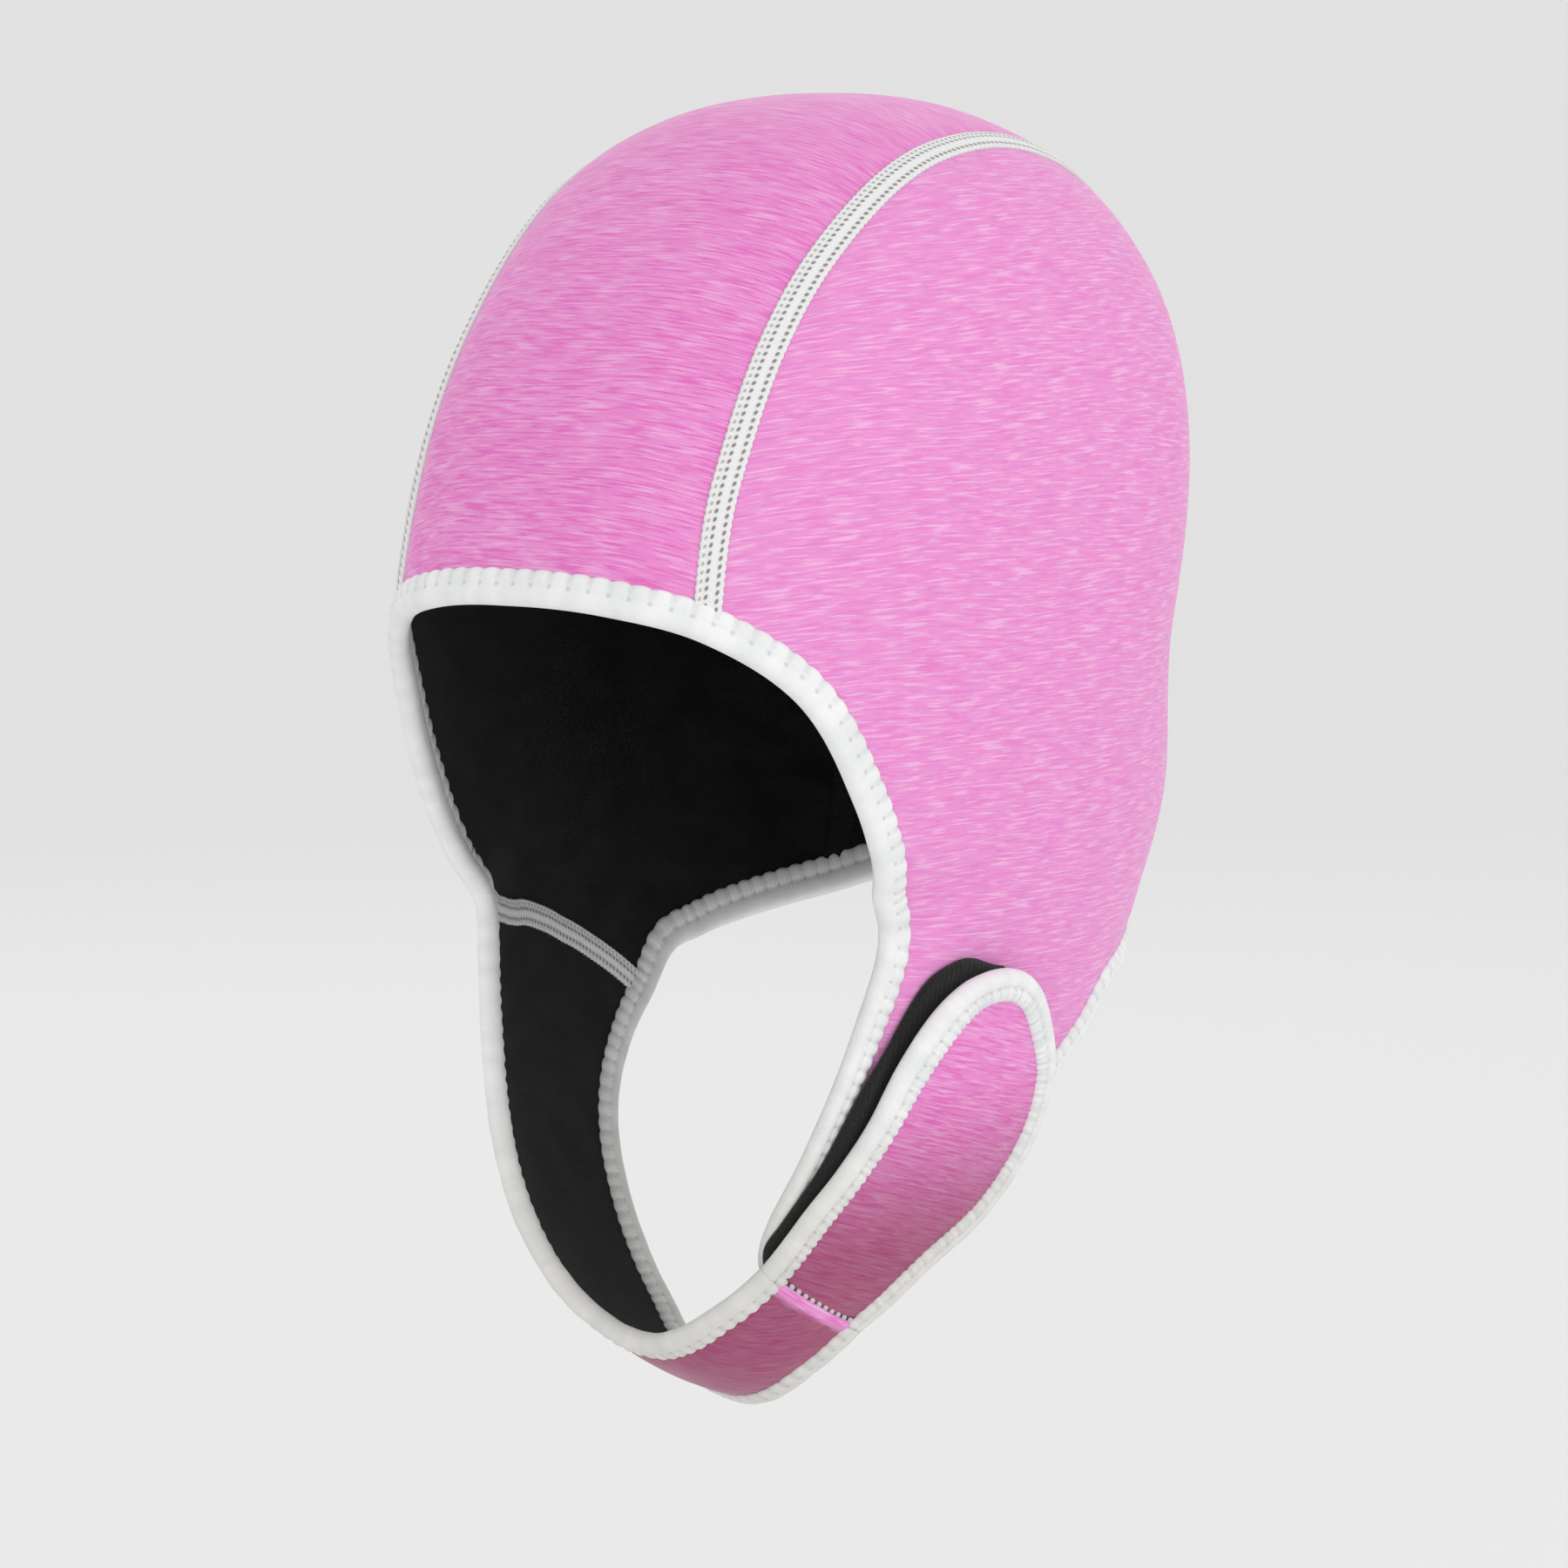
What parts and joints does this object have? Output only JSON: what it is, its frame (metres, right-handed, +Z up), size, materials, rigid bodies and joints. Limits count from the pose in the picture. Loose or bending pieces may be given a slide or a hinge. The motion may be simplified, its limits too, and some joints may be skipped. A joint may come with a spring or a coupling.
{
  "type": "swim cap",
  "caption": "Close-fitting foam-cloth swim cap with ear flaps, flat seams, bound edges and a chin strap that closes on the left flap with a hook-and-loop tab.",
  "frame": {"origin": "the middle of the crown's inner face, where the cap sits on the top of a head", "axes": "+Z up, the face opening looks along -Y, +X is the wearer's left, where the tab closes"},
  "size_m": [0.1529, 0.2007, 0.292],
  "materials": {
    "cloth": "heathered knit on foam rubber",
    "trim": "folded knit tape and overlock thread",
    "pad": "ribbed hook-and-loop tape"
  },
  "bodies": {
    "root": {"centre_panel": "cloth", "side_panel_left": "cloth", "side_panel_right": "cloth", "chin_strap": "cloth", "strap_tab": "cloth", "strap_joint": "cloth", "loop_pad": "pad", "hook_pad": "pad", "crown_seam_left": "trim", "crown_seam_right": "trim", "strap_seam": "trim", "face_binding": "trim", "nape_binding": "trim", "tab_binding": "trim"}
  },
  "joints": []
}
